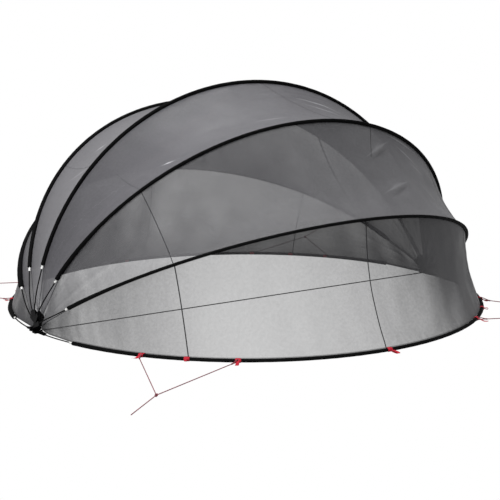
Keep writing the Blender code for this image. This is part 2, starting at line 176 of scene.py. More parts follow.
def finger_fan(k):
    """The angle about the hub axis of the line from the hinge to hoop k's sleeve."""
    if k in GROUND_HOOPS:
        return math.radians(HOOP_STEP * k)
    start = hoop(k, SLEEVE_START[k])
    return math.atan2(start[2] - HINGE_Z, -start[1])


def row_degrees(k):
    """Degrees along hoop k of each row of cloth."""
    first = SLEEVE_START[k]
    arc = np.linspace(first, 180.0 - first, ARC_ROWS)
    left = np.linspace(0.0, first, HUB_ROWS, endpoint=False)
    return np.concatenate([left, arc, 180.0 - left[::-1]])


def row_at(k, degrees):
    """The row, as a float, that crosses hoop k at these degrees."""
    return float(np.interp(degrees, row_degrees(k), np.arange(ROWS)))


def sleeve_half(k, degrees):
    """Half the width of hoop k's flattened cloth sleeve in the hoop's plane, and half its thickness."""
    from_hub = np.minimum(degrees, 180.0 - np.asarray(degrees, float))
    slack = smooth((SLACK_TO - from_hub) / SLACK_FADE)
    thick = SLEEVE_THICK_RING if k in GROUND_HOOPS else SLEEVE_THICK
    return SLEEVE_WIDE + SLEEVE_SLACK[k] * slack, thick + (SLEEVE_THICK_SLACK - thick) * slack


def sleeve_line(k, degrees):
    """Centre line of hoop k's sleeve with its directions out and across. The ring's lies on the floor."""
    degrees = np.asarray(degrees, float)
    path = hoop(k, degrees)
    along = unit(hoop(k, degrees + 0.1) - hoop(k, degrees - 0.1))
    fan = math.radians(HOOP_STEP * k)
    across = np.broadcast_to(np.array([0.0, math.sin(fan), math.cos(fan)]), path.shape)
    if k in GROUND_HOOPS:
        path[:, 2] = sleeve_half(k, degrees)[1] + FLOOR_GAP
    out = np.cross(across, along)
    middle = len(path) // 2
    outward = path[middle] - (0.0, 0.0, RING_Z)
    return path, out * np.sign(np.sum(out[middle] * outward)), across


# Shape of the gores

def cloth_edge(k, side):
    """The cloth's edge on the inner side of hoop k's sleeve, and the straight hem from there to the hub.

    side is 1 where the cloth goes on to hoop k + 1 and -1 where it comes from hoop k - 1.
    """
    degrees = np.linspace(SLEEVE_START[k], 180.0 - SLEEVE_START[k], ARC_ROWS)
    path, out, across = sleeve_line(k, degrees)
    wide, thick = sleeve_half(k, degrees)
    part = smooth((np.minimum(degrees, 180.0 - degrees) - SLEEVE_START[k]) / EDGE_FADE)
    arc = path - out * (wide * EDGE_INWARD)[:, None] + across * (side * EDGE_ASIDE * thick * part)[:, None]
    fan = finger_fan(k)
    toward = np.array([0.0, -math.cos(fan), math.sin(fan)])
    hinge = UP * HINGE_Z
    inner = hinge + toward * PATCH_INNER + np.array([-RING_RADIUS + PATCH_INNER_X, 0.0, 0.0])
    corner = hinge + toward * PATCH_REACH + np.array([-RING_RADIUS + PATCH_CORNER_X, 0.0, 0.0])
    if k in GROUND_HOOPS:
        inner[2] = RING_INNER_Z
        corner = np.array([-RING_RADIUS + RING_CORNER_X, corner[1], RING_CORNER_Z])
    f = np.linspace(0.0, 1.0, HUB_ROWS, endpoint=False)[:, None]
    on_patch = inner + (corner - inner) * ramp(f / PATCH_ROWS_SHARE)
    on_hem = corner + (arc[0] - corner) * ramp((f - PATCH_ROWS_SHARE) / (1.0 - PATCH_ROWS_SHARE))
    left = np.where(f < PATCH_ROWS_SHARE, on_patch, on_hem)
    return np.concatenate([left, arc, left[::-1] * MIRROR_X])


def ripple(seed, x, y, length, count=8):
    """A smooth random height between about -1 and 1, with bumps about length metres long."""
    rng = np.random.RandomState(seed)
    total = np.zeros(np.broadcast(x, y).shape)
    for _ in range(count):
        turn = rng.uniform(0.0, math.tau)
        wave = length * rng.uniform(0.7, 1.5)
        phase = rng.uniform(0.0, math.tau)
        total = total + np.sin((x * math.cos(turn) + y * math.sin(turn)) * math.tau / wave + phase)
    usual_peak = 1.8 * math.sqrt(count / 2.0)
    return total / usual_peak


def softened(p, rows=13.0):
    """p evened out along the gore, so that no kink runs over the cloth where its straight hems begin."""
    reach = int(rows * 2.5)
    kernel = bell(np.arange(-reach, reach + 1), 0.0, rows)
    kernel = kernel / kernel.sum()
    head = 2.0 * p[:1] - p[reach:0:-1]
    foot = 2.0 * p[-1:] - p[-2:-reach - 2:-1]
    longer = np.concatenate([head, p, foot])
    return sum(w * longer[i:i + len(p)] for i, w in enumerate(kernel))


# Soft folds drawn in by the pull of the hoops: gore, share of its width and degrees at both ends, half width
# in metres, height in metres. Inwards is negative.
FOLDS = (
    (0, 0.30, 44.0, 0.62, 92.0, 0.035, 0.006),
    (1, 0.35, 18.0, 0.52, 60.0, 0.03, 0.007),
    (2, 0.80, 88.0, 0.86, 112.0, 0.02, 0.008),
    (2, 0.90, 98.0, 0.93, 120.0, 0.016, 0.006),
    (1, 0.74, 104.0, 0.86, 111.5, 0.05, 0.012),
    (1, 0.33, 104.0, 0.44, 113.0, 0.055, 0.014),
    (1, 0.26, 105.0, 0.40, 114.0, 0.05, -0.012),
    (3, 0.55, 70.0, 0.72, 96.0, 0.03, 0.009),
    (3, 0.30, 78.0, 0.44, 102.0, 0.03, 0.007),
)

# Painted highlights along crease lines, mixed into the cloth's colour: gore, share of its width and degrees
# at both ends, half width in metres and strength. A strength below 0 is painted shade on the shaded side of a
# pucker.
CREASES = (
    (1, 0.88, 117.5, 0.79, 123.0, 0.007, 0.35),
    (1, 0.74, 121.0, 0.68, 125.5, 0.006, 0.3),
    (1, 0.48, 121.5, 0.35, 125.0, 0.006, 0.35),
    (1, 0.97, 116.0, 0.95, 125.0, 0.010, 0.25),
    (1, 0.74, 104.8, 0.86, 110.8, 0.028, 0.14),
    (1, 0.71, 106.1, 0.80, 110.5, 0.022, -0.2),
    (1, 0.33, 105.1, 0.44, 112.2, 0.028, 0.14),
    (1, 0.27, 105.6, 0.38, 111.5, 0.022, -0.2),
    (2, 0.78, 103.0, 0.71, 113.0, 0.006, 0.8),
    (2, 0.67, 103.0, 0.56, 111.0, 0.006, 0.8),
    (2, 0.30, 82.0, 0.28, 88.0, 0.008, 0.4),
    (2, 0.22, 55.0, 0.19, 57.0, 0.010, 0.9),
    (3, 0.64, 54.0, 0.60, 56.0, 0.010, 0.9),
    (3, 0.60, 43.0, 0.40, 46.0, 0.030, 0.2),
)

# Random wrinkles, as height and length in metres where both are given: broad and middling waves all over,
# puckers close to the sleeves (lower on the front gore), and fine folds PUSHED_AT metres from each hub.
BROAD_WAVES = (0.005, 0.9)
MIDDLING_WAVES = (0.002, 0.33)
PUCKER_HEIGHT = 0.0022
PUCKER_HEIGHT_FRONT = 0.001
PUCKER_LENGTHS = (0.13, 0.07)
PUCKER_REACH = 0.07
PUSHED_FOLDS = (0.003, 0.15)
PUSHED_AT = 1.1
PUSHED_REACH = 0.6
# Folds from hoop to hoop: height on each gore, and their length
HANGING = (0.003, 0.007, 0.003, 0.003, 0.005, 0.015)
HANGING_LENGTH = 0.42
# Folds fanning out from each hub: how many, how strong on each gore, and the ranges of their place and drift
# over the width, their half width, their reach and their height. Then how far from the hub they are highest,
# and over what distance they come up.
PULLS = 9
PULL_STRENGTH = (0.5, 0.15, 0.3, 0.3, 0.3, 0.3)
PULL_PLACE = (0.12, 0.88)
PULL_DRIFT = (-0.08, 0.08)
PULL_WIDTH = (0.018, 0.05)
PULL_REACH = (0.7, 2.2)
PULL_HEIGHT = (-0.006, 0.009)
PULL_FROM = 0.35
PULL_FADE = 0.25
# Distances from the sleeves, in metres, over which the wrinkles come up
WAVE_FADE = 0.09
PUCKER_FADE = 0.02
HANGING_FADE = 0.3
PUSHED_FADE = 0.1

# The hem beside the ground ring is wider: distances from that edge count for this much.
RING_HEM_SHARE = 0.42


def creases_on(k):
    return [crease[1:] for crease in CREASES if crease[0] == k]


class Gore:
    """The cloth between hoops k and k + 1 as a grid of points, with what the pieces on it need."""

    def __init__(self, k, seed):
        self.k = k
        one = cloth_edge(k, 1.0)
        two = cloth_edge(k + 1, -1.0)
        across = two - one
        self.width = np.linalg.norm(across, axis=1)
        width = self.width[:, None]
        f = np.linspace(0.0, 1.0, GORE_COLUMNS)
        f = f - COLUMN_CROWDING * np.sin(math.tau * f) / math.tau
        self.share = np.repeat(f[None, :], ROWS, axis=0)
        self.reach = width * f[None, :]
        p = one[:, None, :] + across[:, None, :] * f[None, :, None]
        inward = np.stack([np.zeros(p.shape[:2]), -p[..., 1], RING_Z - p[..., 2]], axis=-1)
        sag = GORE_SAG * width * 4.0 * self.share * (1.0 - self.share)
        p = p + unit(inward) * sag[..., None]
        p = p + (softened(p) - p) * smooth(5.0 * self.share * (1.0 - self.share))[..., None]
        self.along = run_along(p[:, GORE_COLUMNS // 2])
        self.length = self.along[-1]
        self.edge = np.minimum(self.reach, width - self.reach)
        self.hem = np.where(self.reach < 0.5 * width, self.reach * (RING_HEM_SHARE if k == 0 else 1.0),
                            (width - self.reach) * (RING_HEM_SHARE if k == 5 else 1.0))
        self.hub = np.minimum(self.along, self.length - self.along)[:, None] + 0.0 * self.reach
        self.degrees = np.repeat(row_degrees(k)[:, None], GORE_COLUMNS, axis=1)
        p = p + self.normals(p) * self.wrinkles(seed)[..., None]
        self.creases = []
        for s0, t0, s1, t1, half, strength in creases_on(k):
            q = (self.degrees - t0) / (t1 - t0)
            line = (self.share - s0 - (s1 - s0) * q) * width
            self.creases.append(np.clip(line / np.maximum(bell(q, 0.5, 0.5), 0.004), -1.0, 1.0))
        self.points = p
        self.normal = self.normals(p)

    def normals(self, p):
        """Outward normals of a grid of points."""
        n = unit(np.cross(np.gradient(p, axis=0), np.gradient(p, axis=1)))
        outward = np.stack([np.zeros(n.shape[:2]), p[..., 1], p[..., 2] - RING_Z], axis=-1)
        flip = np.sign(np.sum(n * outward, axis=-1, keepdims=True))
        flip[flip == 0.0] = 1.0
        return n * np.sign(np.sum(flip))

    def wrinkles(self, seed):
        """How far each point of the cloth lies outside its smooth shape."""
        length = self.along[:, None] + 0.0 * self.share
        d = self.edge
        fade = ramp(d / WAVE_FADE)
        total = BROAD_WAVES[0] * ripple(seed, length, self.reach, BROAD_WAVES[1]) * fade
        total += MIDDLING_WAVES[0] * ripple(seed + 1, length, self.reach, MIDDLING_WAVES[1]) * fade
        pucker = ripple(seed + 2, length, 0.0 * length, PUCKER_LENGTHS[0], 6)
        pucker = pucker + 0.5 * ripple(seed + 3, length, self.reach, PUCKER_LENGTHS[1], 6)
        height = PUCKER_HEIGHT_FRONT if self.k == 0 else PUCKER_HEIGHT
        total += height * pucker * np.exp(-d / PUCKER_REACH) * ramp(d / PUCKER_FADE)
        total += self.pull_folds(seed + 4, length, fade)
        hanging = ripple(seed + 8, length, 0.12 * self.reach, HANGING_LENGTH, 6)
        hanging_fade = ramp(d / np.minimum(HANGING_FADE, 0.3 * self.width[:, None] + 0.01))
        total += HANGING[self.k] * hanging * hanging_fade
        if self.k < 2:
            near = bell(self.hub, PUSHED_AT, PUSHED_REACH) * ramp(d / PUSHED_FADE)
            total += PUSHED_FOLDS[0] * ripple(seed + 9, length, 0.05 * self.reach, PUSHED_FOLDS[1], 6) * near
        for k, s0, t0, s1, t1, half, height in FOLDS:
            if k == self.k:
                q = (self.degrees - t0) / (t1 - t0)
                shape = bell((self.share - s0 - (s1 - s0) * q) * self.width[:, None], 0.0, half)
                total += height * shape * bell(q, 0.5, 0.42) * fade
        return total

    def pull_folds(self, seed, length, fade):
        """Folds that fan out from the hub at each end of the gore."""
        rng = np.random.RandomState(seed)
        total = np.zeros(length.shape)
        for run in (length, self.length - length):
            for _ in range(PULLS):
                place = rng.uniform(*PULL_PLACE)
                drift = rng.uniform(*PULL_DRIFT)
                width = rng.uniform(*PULL_WIDTH)
                reach = rng.uniform(*PULL_REACH)
                size = rng.uniform(*PULL_HEIGHT) * PULL_STRENGTH[self.k]
                fold = size * bell(self.share, place + drift * run / 2.0, width)
                total += fold * bell(run, PULL_FROM, reach) * ramp(run / PULL_FADE) * fade
        return total

    def at(self, row, share):
        """The point and the outward normal at a row (a float) and a share of the gore's width."""
        row = np.clip(row, 0.0, ROWS - 1.001)
        r0 = row.astype(int)
        fr = (row - r0)[..., None]
        col = np.clip(np.interp(share, self.share[0], np.arange(GORE_COLUMNS)), 0.0, GORE_COLUMNS - 1.001)
        c0 = col.astype(int)
        fc = (col - c0)[..., None]
        found = []
        for field in (self.points, self.normal):
            low = field[r0, c0] * (1 - fc) + field[r0, c0 + 1] * fc
            high = field[r0 + 1, c0] * (1 - fc) + field[r0 + 1, c0 + 1] * fc
            found.append(low * (1 - fr) + high * fr)
        return found[0], unit(found[1])


# Mesh helpers

def link(data, name):
    obj = bpy.data.objects.new(name, data)
    bpy.context.scene.collection.objects.link(obj)
    return obj


def mesh_object(name, verts, faces, material, rounded=True, uv=None, attributes=None):
    """uv and the attributes have a value for each vertex, and rounded means smooth shading."""
    mesh = bpy.data.meshes.new(name)
    mesh.from_pydata([tuple(v) for v in verts], [], faces)
    mesh.polygons.foreach_set("use_smooth", [rounded] * len(mesh.polygons))
    if uv is not None:
        layer = mesh.uv_layers.new(name="UVMap")
        index = np.zeros(len(mesh.loops), np.int32)
        mesh.loops.foreach_get("vertex_index", index)
        layer.data.foreach_set("uv", np.asarray(uv, np.float32)[index].ravel())
    for key, values in (attributes or {}).items():
        item = mesh.attributes.new(key, "FLOAT", "POINT")
        item.data.foreach_set("value", np.asarray(values, np.float32))
    mesh.materials.append(material)
    mesh.update()
    return link(mesh, name)


def grid_faces(rows, columns, closed=False):
    """Faces of a grid of points, row by row. A closed grid's last column joins its first."""
    faces = []
    last = columns if closed else columns - 1
    for i in range(rows - 1):
        for j in range(last):
            a = i * columns + j
            b = i * columns + (j + 1) % columns
            faces.append((a, b, b + columns, a + columns))
    return faces


def bar_faces(rows, sides):
    """Faces of a closed bar: its skin and a cap at each end."""
    faces = grid_faces(rows, sides, closed=True)
    faces.append(tuple(range(sides - 1, -1, -1)))
    faces.append(tuple((rows - 1) * sides + j for j in range(sides)))
    return faces


def frames_along(path):
    """Unit vectors to the side and up at every point of a path, without twist."""
    along = unit(np.gradient(path, axis=0))
    side = np.zeros(path.shape)
    current = np.cross(along[0], UP)
    if np.linalg.norm(current) < 0.2:
        current = np.cross(along[0], (1.0, 0.0, 0.0))
    for i in range(len(path)):
        current = current - along[i] * np.dot(current, along[i])
        current = current / np.linalg.norm(current)
        side[i] = current
    return side, np.cross(along, side)


def tube_parts(path, radii, sides, twist=0.0, lobes=0, lobe=0.0):
    """Vertices, faces and UVs in metres of a bar along a path. radii is a number or one for each point.

    lobes is the number of strands that show round it, lobe how far they stand out as a share of the radius,
    and twist how many radians they turn a metre.
    """
    side, up = frames_along(path)
    rows = len(path)
    run = run_along(path)
    turn = np.linspace(0.0, math.tau, sides, endpoint=False)[None, :] + np.zeros((rows, 1))
    size = np.asarray(radii, float).reshape(rows, -1) if np.ndim(radii) else float(radii)
    size = np.broadcast_to(size, (rows, sides))
    if lobes:
        size = size * (1.0 + lobe * np.cos(lobes * (turn - twist * run[:, None])))
    points = path[:, None, :] + (side[:, None, :] * np.cos(turn)[..., None]
                                 + up[:, None, :] * np.sin(turn)[..., None]) * size[..., None]
    round_it = turn / math.tau * 0.1
    uv = np.stack([round_it, np.repeat(run[:, None], sides, axis=1)], axis=-1).reshape(-1, 2)
    return points.reshape(-1, 3), bar_faces(rows, sides), uv


def joined(name, parts, material, rounded=True):
    """One mesh object of several parts, each a tuple of vertices, faces and UVs."""
    faces = []
    count = 0
    for verts, part_faces, _ in parts:
        faces += [tuple(i + count for i in face) for face in part_faces]
        count += len(verts)
    verts = np.concatenate([part[0] for part in parts])
    return mesh_object(name, verts, faces, material, rounded, np.concatenate([part[2] for part in parts]))


# Materials

BLACK = (0.0, 0.0, 0.0)
PATCH_BLACK = (0.002, 0.002, 0.0022)
# Colour of the painted highlights on crease lines
PAINTED_CREASE_HIGHLIGHT = (0.5, 0.5, 0.52)
# Colour of the painted light on the cloth towards the right hub
PAINTED_LIGHT_CLOTH = (0.35, 0.345, 0.37)

# Mesh cloth. Its open share is lower in rolled hems, in the corner patches and their stitching, and where it
# is drawn together: GATHER_AT metres from the hubs, towards the second hoop and towards the right end, which
# runs between the two distances in RIGHT_END.
MESH_PITCH = 0.0034
WEAVE_OPEN = (1.04, 0.67)
STEEPEST = 0.14
STEEP_POWER = 1.8
GATHER_AT = 1.4
GATHER_WIDTH = 0.6
ACROSS_GATHER = 0.22
RIGHT_END = (4.4, 6.2)
HEM_EDGE = (0.0045, 0.0065)
HEM_OPEN = 0.4
PATCH_OPEN = 0.78
STITCH_EDGE = (0.004, 0.006)
STITCH_OPEN = 0.5
BLACK_RUN = PATCH_RUN - 0.035
SLEEVE_PITCH = 0.0016
WEBBING_PITCH = (0.0022, 0.0028)


class Nodes:
    """A material and short calls that add nodes to it. Inputs are numbers, tuples or outputs of nodes."""

    def __init__(self, name):
        self.material = bpy.data.materials.new(name)
        self.material.use_nodes = True
        self.tree = self.material.node_tree
        self.shader = self.tree.nodes["Principled BSDF"]

    def node(self, kind, inputs, **settings):
        made = self.tree.nodes.new(kind)
        for key, value in settings.items():
            setattr(made, key, value)
        for key, value in inputs.items():
            if isinstance(value, (int, float, tuple)):
                made.inputs[key].default_value = value
            else:
                self.tree.links.new(value, made.inputs[key])
        return made

    def set(self, **values):
        for key, value in values.items():
            self.shader.inputs[key.replace("_", " ")].default_value = value

    def link(self, output, name):
        self.tree.links.new(output, self.shader.inputs[name])

    def math(self, operation, *values, clamp=False):
        made = self.node("ShaderNodeMath", dict(enumerate(values)), operation=operation, use_clamp=clamp)
        return made.outputs[0]

    def times(self, a, b):
        return self.math("MULTIPLY", a, b)

    def bell(self, value):
        return self.math("EXPONENT", self.times(self.times(value, value), -1.0))

    def remap(self, value, low, high, to_low=0.0, to_high=1.0, eased=True):
        inputs = {"Value": value, "From Min": low, "From Max": high, "To Min": to_low, "To Max": to_high}
        course = "SMOOTHSTEP" if eased else "LINEAR"
        return self.node("ShaderNodeMapRange", inputs, interpolation_type=course).outputs["Result"]

    def noise(self, vector, scale, detail=3.0, roughness=0.5):
        inputs = {"Vector": vector, "Scale": scale, "Detail": detail, "Roughness": roughness}
        return self.node("ShaderNodeTexNoise", inputs).outputs["Fac"]

    def spread(self, noise, low=0.0, high=1.0):
        """The middle of a noise, stretched from low to high."""
        return self.remap(noise, 0.3, 0.7, low, high)

    def mix(self, factor, a, b):
        """Mixes two colours. Each is a tuple of three numbers or an output."""
        a, b = ((*colour, 1.0) if isinstance(colour, tuple) else colour for colour in (a, b))
        made = self.node("ShaderNodeMix", {"Factor": factor, "A": a, "B": b}, data_type="RGBA")
        return made.outputs["Result"]

    def bump(self, height, distance, strength, **normal):
        inputs = {"Distance": distance, "Strength": strength, "Height": height, **normal}
        return self.node("ShaderNodeBump", inputs).outputs["Normal"]

    def object_coords(self):
        return self.node("ShaderNodeTexCoord", {}).outputs["Object"]

    def uv(self):
        both = self.node("ShaderNodeUVMap", {}, uv_map="UVMap").outputs["UV"]
        made = self.node("ShaderNodeSeparateXYZ", {0: both})
        return made.outputs["X"], made.outputs["Y"]

    def attribute(self, name):
        return self.node("ShaderNodeAttribute", {}, attribute_name=name).outputs["Fac"]

    def threads(self, value, pitch):
        """0 to 1 across each thread of a weave with that pitch."""
        wave = self.math("SINE", self.times(value, math.tau / pitch))
        return self.math("MULTIPLY_ADD", wave, 0.5, 0.5)


def mesh_cloth(name, k, colour, through, gather, seed, black_from=2.0, painted_shade=0.0, far=0.0, pale=0.0):
    """See-through knitted mesh. through is the share of light that goes straight through it.

    gather is how much denser the cloth gets where it is drawn together beside the hubs. The corner patch is
    black and closed where the share of the gore's width is over black_from. painted_shade is painted shade:
    how much darker the cloth of gore k is at its second hoop, and far how much more it is drawn together
    there towards the right hub.
    pale is painted light: how much paler the cloth gets towards the right hub.
    """
    n = Nodes(name)
    u, v = n.uv()
    coords = n.object_coords()
    hub = n.attribute("hub")
    across = n.attribute("across")
    right_end = n.remap(v, *RIGHT_END)
    weave = n.times(n.threads(u, MESH_PITCH), n.threads(v, MESH_PITCH))
    mottle = n.noise(coords, 34.0 + seed, 4.0, 0.6)
    broad = n.noise(coords, 2.3, 3.0)

    # Drawn together and seen at a slant, the cloth covers more.
    weight = n.node("ShaderNodeLayerWeight", {"Blend": 0.5})
    facing = n.math("SUBTRACT", 1.0, weight.outputs["Facing"])
    square_on = n.math("POWER", n.math("MAXIMUM", facing, STEEPEST), STEEP_POWER)
    off = n.times(n.math("SUBTRACT", hub, GATHER_AT), 1.0 / GATHER_WIDTH)
    drawn = n.math("MULTIPLY_ADD", n.bell(off), gather, 1.0)
    packed = n.times(n.times(across, across), n.times(right_end, far))
    drawn = n.times(drawn, n.math("ADD", n.math("MULTIPLY_ADD", across, ACROSS_GATHER, 1.0), packed))
    open_share = n.times(n.spread(mottle, 0.965, 1.035), n.spread(broad, 0.99, 1.01))
    clear = n.math("POWER", n.times(open_share, through), n.math("DIVIDE", drawn, square_on))
    clear = n.times(clear, n.remap(weave, 0.0, 1.0, *WEAVE_OPEN, eased=False))

    # Hems, corner patches and their stitching
    clear = n.times(clear, n.remap(n.attribute("hem"), *HEM_EDGE, HEM_OPEN, 1.0))
    clear = n.times(clear, n.remap(hub, PATCH_RUN - 0.001, PATCH_RUN + 0.001, PATCH_OPEN, 1.0))
    stitch = n.math("ABSOLUTE", n.math("SUBTRACT", hub, PATCH_RUN))
    clear = n.times(clear, n.remap(stitch, *STITCH_EDGE, STITCH_OPEN, 1.0))
    patch = n.times(n.remap(hub, BLACK_RUN - 0.004, BLACK_RUN + 0.004, 1.0, 0.0),
                    n.remap(across, black_from - 0.01, black_from + 0.01))
    clear = n.times(clear, n.math("SUBTRACT", 1.0, patch))
    n.link(n.math("SUBTRACT", 1.0, clear, clamp=True), "Alpha")

    dark = tuple(c * 0.86 for c in colour)
    shade = n.mix(n.remap(mottle, 0.35, 0.65), dark, colour)
    # Painted shade: the colour goes darker towards the gore's second hoop
    shade = n.mix(n.times(across, painted_shade), shade, BLACK)
    # Painted light: the colour goes paler towards the right hub
    shade = n.mix(n.times(right_end, pale), shade, PAINTED_LIGHT_CLOTH)
    # Painted highlights along the crease lines, and painted shade on the shaded side of puckers
    for i, (*_, half, strength) in enumerate(creases_on(k)):
        painted_glint = n.bell(n.times(n.attribute("crease_%d" % i), 1.0 / half))
        shade = n.mix(n.times(painted_glint, abs(strength)), shade, PAINTED_CREASE_HIGHLIGHT if strength > 0.0 else BLACK)
    n.link(n.mix(patch, shade, PATCH_BLACK), "Base Color")
    n.link(n.spread(broad, 0.38, 0.5), "Roughness")
    n.link(n.remap(patch, 0.0, 1.0, 0.25, 0.03, eased=False), "Specular IOR Level")
    n.link(n.remap(patch, 0.0, 1.0, 0.04, 0.0, eased=False), "Sheen Weight")
    n.set(Sheen_Roughness=0.4)
    height = n.math("ADD", n.times(weave, 0.3), n.times(n.noise(coords, 9.0, 4.0), 2.0))
    n.link(n.bump(height, 0.0012, 0.7), "Normal")
    return n.material


def sleeve_cloth():
    """Close black cloth."""
    n = Nodes("sleeve_cloth")
    u, v = n.uv()
    coords = n.object_coords()
    weave = n.times(n.threads(u, SLEEVE_PITCH), n.threads(v, SLEEVE_PITCH))
    broad = n.noise(coords, 11.0, 4.0)
    n.link(n.mix(n.spread(broad), (0.0012, 0.0012, 0.0013), (0.003, 0.003, 0.0032)), "Base Color")
    n.link(n.spread(broad, 0.62, 0.8), "Roughness")
    n.set(Sheen_Weight=0.004, Sheen_Roughness=0.45, Specular_IOR_Level=0.05)
    first = n.bump(n.noise(coords, 60.0, 3.0), 0.002, 0.6)
    n.link(n.bump(weave, 0.0004, 0.6, Normal=first), "Normal")
    return n.material


def webbing(name, bright, deep):
    """Woven band or braid, bright on its ribs and darker between them, with painted shade in the grooves."""
    n = Nodes(name)
    u, v = n.uv()
    ribs = n.threads(v, WEBBING_PITCH[1])
    grain = n.threads(u, WEBBING_PITCH[0])
    fade = n.noise(n.object_coords(), 30.0, 3.0)
    # Painted shade: darker in the grooves between the ribs, with random tone over it
    brightness = n.math("MULTIPLY_ADD", ribs, 0.35, n.spread(fade, 0.0, 0.6), clamp=True)
    n.link(n.mix(brightness, deep, bright), "Base Color")
    n.link(n.spread(fade, 0.5, 0.7), "Roughness")
    n.set(Sheen_Weight=0.05, Sheen_Roughness=0.4, Specular_IOR_Level=0.25)
    n.link(n.bump(n.math("ADD", ribs, n.times(grain, 0.4)), 0.0005, 0.7), "Normal")
    return n.material


def moulded(name, dark, light, rough, grain, bump, gloss=0.5):
    """Plastic, fibre or metal with a fine grain. rough is the range of its roughness."""
    n = Nodes(name)
    coords = n.object_coords()
    fine = n.noise(coords, grain, 4.0, 0.6)
    wide = n.noise(coords, grain / 14.0, 3.0)
    n.link(n.mix(n.spread(wide), dark, light), "Base Color")
    both = n.math("MULTIPLY_ADD", fine, 0.5, n.times(wide, 0.5))
    n.link(n.spread(both, *rough), "Roughness")
    n.set(Specular_IOR_Level=gloss)
    n.link(n.bump(fine, bump, 0.5), "Normal")
    return n.material


# All six gores are one cloth; their different colours are lit and shaded copies of it, painted light and
# shade.
GORE_CLOTH = (
    mesh_cloth("front_mesh_cloth", 0, (0.052, 0.0515, 0.0546), 0.585, 0.6, 0.0, far=3.6, pale=0.08),
    mesh_cloth("gore_mesh_cloth_b", 1, (0.099, 0.098, 0.104), 0.5, 0.1, 3.0, 0.72, painted_shade=0.06, pale=0.13),
    mesh_cloth("gore_mesh_cloth_c", 2, (0.096, 0.094, 0.103), 0.46, 0.1, 5.0, -1.0, painted_shade=0.2, pale=0.05),
    mesh_cloth("gore_mesh_cloth_d", 3, (0.18, 0.177, 0.188), 0.5, 0.1, 7.0, -1.0, painted_shade=0.3),
    mesh_cloth("gore_mesh_cloth_e", 4, (0.11, 0.108, 0.115), 0.38, 0.1, 9.0, -1.0),
    mesh_cloth("gore_mesh_cloth_f", 5, (0.06, 0.059, 0.063), 0.38, 0.1, 11.0),
)
SLEEVE = sleeve_cloth()
RED = webbing("red_webbing", (0.52, 0.01, 0.03), (0.3, 0.005, 0.016))
CORD = webbing("cord_braid", (0.27, 0.068, 0.084), (0.12, 0.034, 0.045))
TAPE = webbing("black_webbing", (0.02, 0.02, 0.022), (0.008, 0.008, 0.01))
SEAM = webbing("seam_tape", (0.02, 0.02, 0.022), (0.01, 0.01, 0.011))
DARK = (0.0015, 0.0015, 0.0017)
LESS_DARK = (0.0035, 0.0035, 0.0038)
PLASTIC = moulded("hub_plastic", DARK, LESS_DARK, (0.5, 0.65), 420.0, 0.0003, gloss=0.01)
ROD = moulded("pole_fibre", DARK, LESS_DARK, (0.4, 0.52), 260.0, 0.0002, gloss=0.04)
PALE = moulded("collar_pale", (0.62, 0.62, 0.6), (0.8, 0.8, 0.79), (0.3, 0.45), 300.0, 0.0002)
AXLE = moulded("axle_steel", (0.006, 0.006, 0.0065), (0.012, 0.012, 0.0125), (0.3, 0.42), 350.0, 0.0001,
               gloss=0.2)

LOOK_OF_NODES = {"hub": PLASTIC, "axle": AXLE, "pole": ROD}
for node_name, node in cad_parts.items():
    look = LOOK_OF_NODES.get(node_name.split("_")[0])
    if look:
        for item in node.material_slots:
            item.material = look


# Camera

AZIMUTH = math.radians(-33.914)
ELEVATION = math.radians(13.047)
DISTANCE = 18.675
back = Vector((math.sin(AZIMUTH) * math.cos(ELEVATION), -math.cos(AZIMUTH) * math.cos(ELEVATION),
               math.sin(ELEVATION)))
lens = bpy.data.cameras.new("camera")
lens.sensor_width = 36.0
lens.lens = 114.26
lens.shift_x = 0.0078
lens.shift_y = 0.098
lens.clip_end = 200.0
camera = link(lens, "camera")
camera.location = Vector((0.0, 0.0, RING_Z)) + back * DISTANCE
camera.rotation_euler = (-back).to_track_quat("-Z", "Y").to_euler()
bpy.context.scene.camera = camera


# Sleeves and collars

SLEEVE_ROWS = 640
SLEEVE_SIDES = 16
SLEEVE_ROUND = 0.06
GATHERS = ((0.075, 8), (0.19, 6))
# The smooth cuff at both ends of a sleeve, and its mouth, turned in to this share of the size
CUFF = 0.024
MOUTH_SHARE = 0.62
COLLAR_RADII = (0.0112, 0.0128, 0.0128) + 6 * (0.0116,)


def make_sleeve(k):
    """The flattened cloth tube on hoop k, with small gathers and a smooth cuff at both ends."""
    degrees = np.linspace(SLEEVE_START[k], 180.0 - SLEEVE_START[k], SLEEVE_ROWS)
    path, out, across = sleeve_line(k, degrees)
    wide, thick = sleeve_half(k, degrees)
    turn = np.linspace(0.0, math.tau, SLEEVE_SIDES, endpoint=False)[None, :]
    length = run_along(path)[:, None] + 0.0 * turn
    curl = SLEEVE_ROUND * turn
    gathers = (ripple(300 + k, length, curl, *GATHERS[0])
               + 0.7 * ripple(320 + k, length, curl * 2.0, *GATHERS[1]))
    size = 0.97 + 0.022 * np.clip(gathers, -1.4, 1.4)
    from_end = np.minimum(length, length[-1] - length)
    size = np.where(from_end < CUFF, 1.0, size)
    size = np.where(from_end < 0.0001, MOUTH_SHARE, size)
    verts = (path[:, None, :] + out[:, None, :] * (np.cos(turn) * size * wide[:, None])[..., None]
             + across[:, None, :] * (np.sin(turn) * size * thick[:, None])[..., None])
    uv = np.stack([curl + 0.0 * length, length], axis=-1).reshape(-1, 2)
    obj = mesh_object("sleeve_cloth_" + HOOPS[k], verts.reshape(-1, 3), bar_faces(SLEEVE_ROWS, SLEEVE_SIDES),
                      SLEEVE, True, uv)
    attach(obj, BODY_OF_HOOP[k])
    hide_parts("sleeve_" + HOOPS[k])


